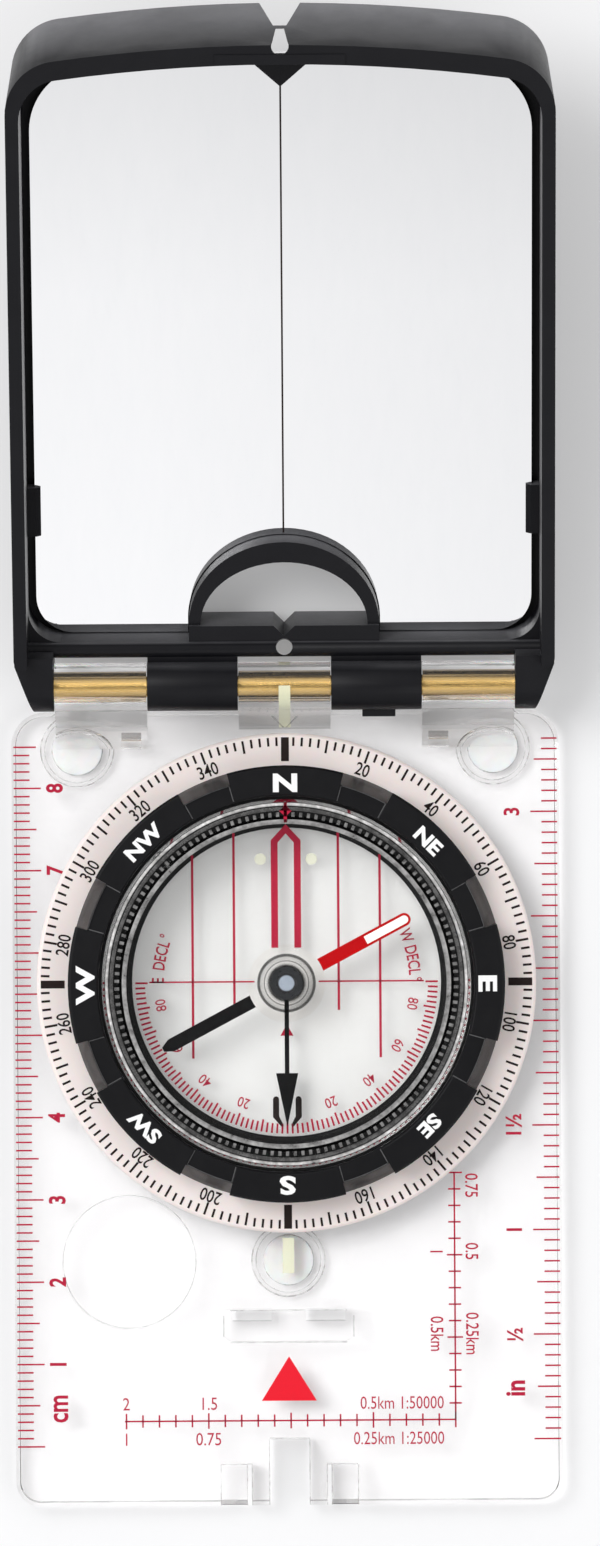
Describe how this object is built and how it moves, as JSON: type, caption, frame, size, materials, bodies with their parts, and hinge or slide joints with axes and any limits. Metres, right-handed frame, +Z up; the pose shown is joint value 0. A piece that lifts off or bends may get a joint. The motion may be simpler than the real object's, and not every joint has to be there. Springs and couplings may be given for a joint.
{
  "type": "mirror sighting compass",
  "caption": "Folding mirror sighting compass with a clear ruled baseplate, turning degree bezel, floating needle and hinged black sighting lid.",
  "frame": {"origin": "on the needle's axis, in the plane of the three feet", "axes": "+X to the right, +Y from the rear edge towards the lid along the direction of travel, +Z up through the bezel"},
  "size_m": [0.0666, 0.1808, 0.0339],
  "materials": {
    "clear_acrylic": "polished clear acrylic",
    "black_plastic": "satin black moulding",
    "mirror": "silvered mirror",
    "foam_tape": "black foam tape",
    "brass": "bright rolled brass",
    "blackened_brass": "blackened brass",
    "beige_plastic": "satin pinkish beige moulding",
    "silicone": "translucent silicone",
    "luminous": "pale luminous inlay",
    "red_blade": "signal red paint",
    "black_blade": "black paint",
    "steel": "turned steel",
    "jewel": "synthetic sapphire"
  },
  "bodies": {
    "base": {"baseplate": "clear_acrylic", "hinge_pin": "brass", "foot_left": "silicone", "foot_right": "silicone", "foot_rear": "silicone", "index_lume_front": "luminous", "index_lume_rear": "luminous"},
    "bezel": {"azimuth_ring": "beige_plastic", "bezel_grip": "black_plastic", "retaining_ring": "black_plastic"},
    "screw": {"declination_screw": "blackened_brass"},
    "capsule": {"capsule_dish": "clear_acrylic", "capsule_dome": "clear_acrylic", "pivot_pin": "steel", "fill_plug": "clear_acrylic"},
    "needle": {"needle_hub": "clear_acrylic", "needle_north": "red_blade", "needle_lume": "luminous", "needle_south": "black_blade", "needle_magnet": "steel", "jewel_bearing": "jewel"},
    "clinometer": {"clinometer_arrow": "black_blade"},
    "lid": {"lid_shell": "black_plastic", "mirror": "mirror", "mirror_pad": "foam_tape", "mirror_clip_left": "black_plastic", "mirror_clip_right": "black_plastic"}
  },
  "joints": [
    {"name": "lid_hinge", "type": "hinge", "parent": "base", "child": "lid", "pos_m": [0, 0.036, 0.0088], "axis": [1, 0, 0], "range_deg": [-15, 165]},
    {"name": "bezel_turn", "type": "hinge", "parent": "base", "child": "bezel", "pos_m": [0, 0, 0.0044], "axis": [0, 0, 1], "continuous": true},
    {"name": "declination", "type": "hinge", "parent": "bezel", "child": "capsule", "pos_m": [0, 0, 0.003], "axis": [0, 0, 1], "range_deg": [-90, 90]},
    {"name": "declination_screw_turn", "type": "hinge", "parent": "bezel", "child": "screw", "pos_m": [0.01095, 0.01897, 0.003], "axis": [0, 0, 1], "range_deg": [-1560, 1560]},
    {"name": "needle_swing", "type": "hinge", "parent": "capsule", "child": "needle", "pos_m": [0, 0, 0.0057], "axis": [0, 0, 1], "continuous": true},
    {"name": "clinometer_swing", "type": "hinge", "parent": "capsule", "child": "clinometer", "pos_m": [0, 0, 0.0035], "axis": [0, 0, 1], "continuous": true}
  ],
  "couplings": [
    {"joint": "declination_screw_turn", "follows": "declination", "ratio": -17.25}
  ]
}
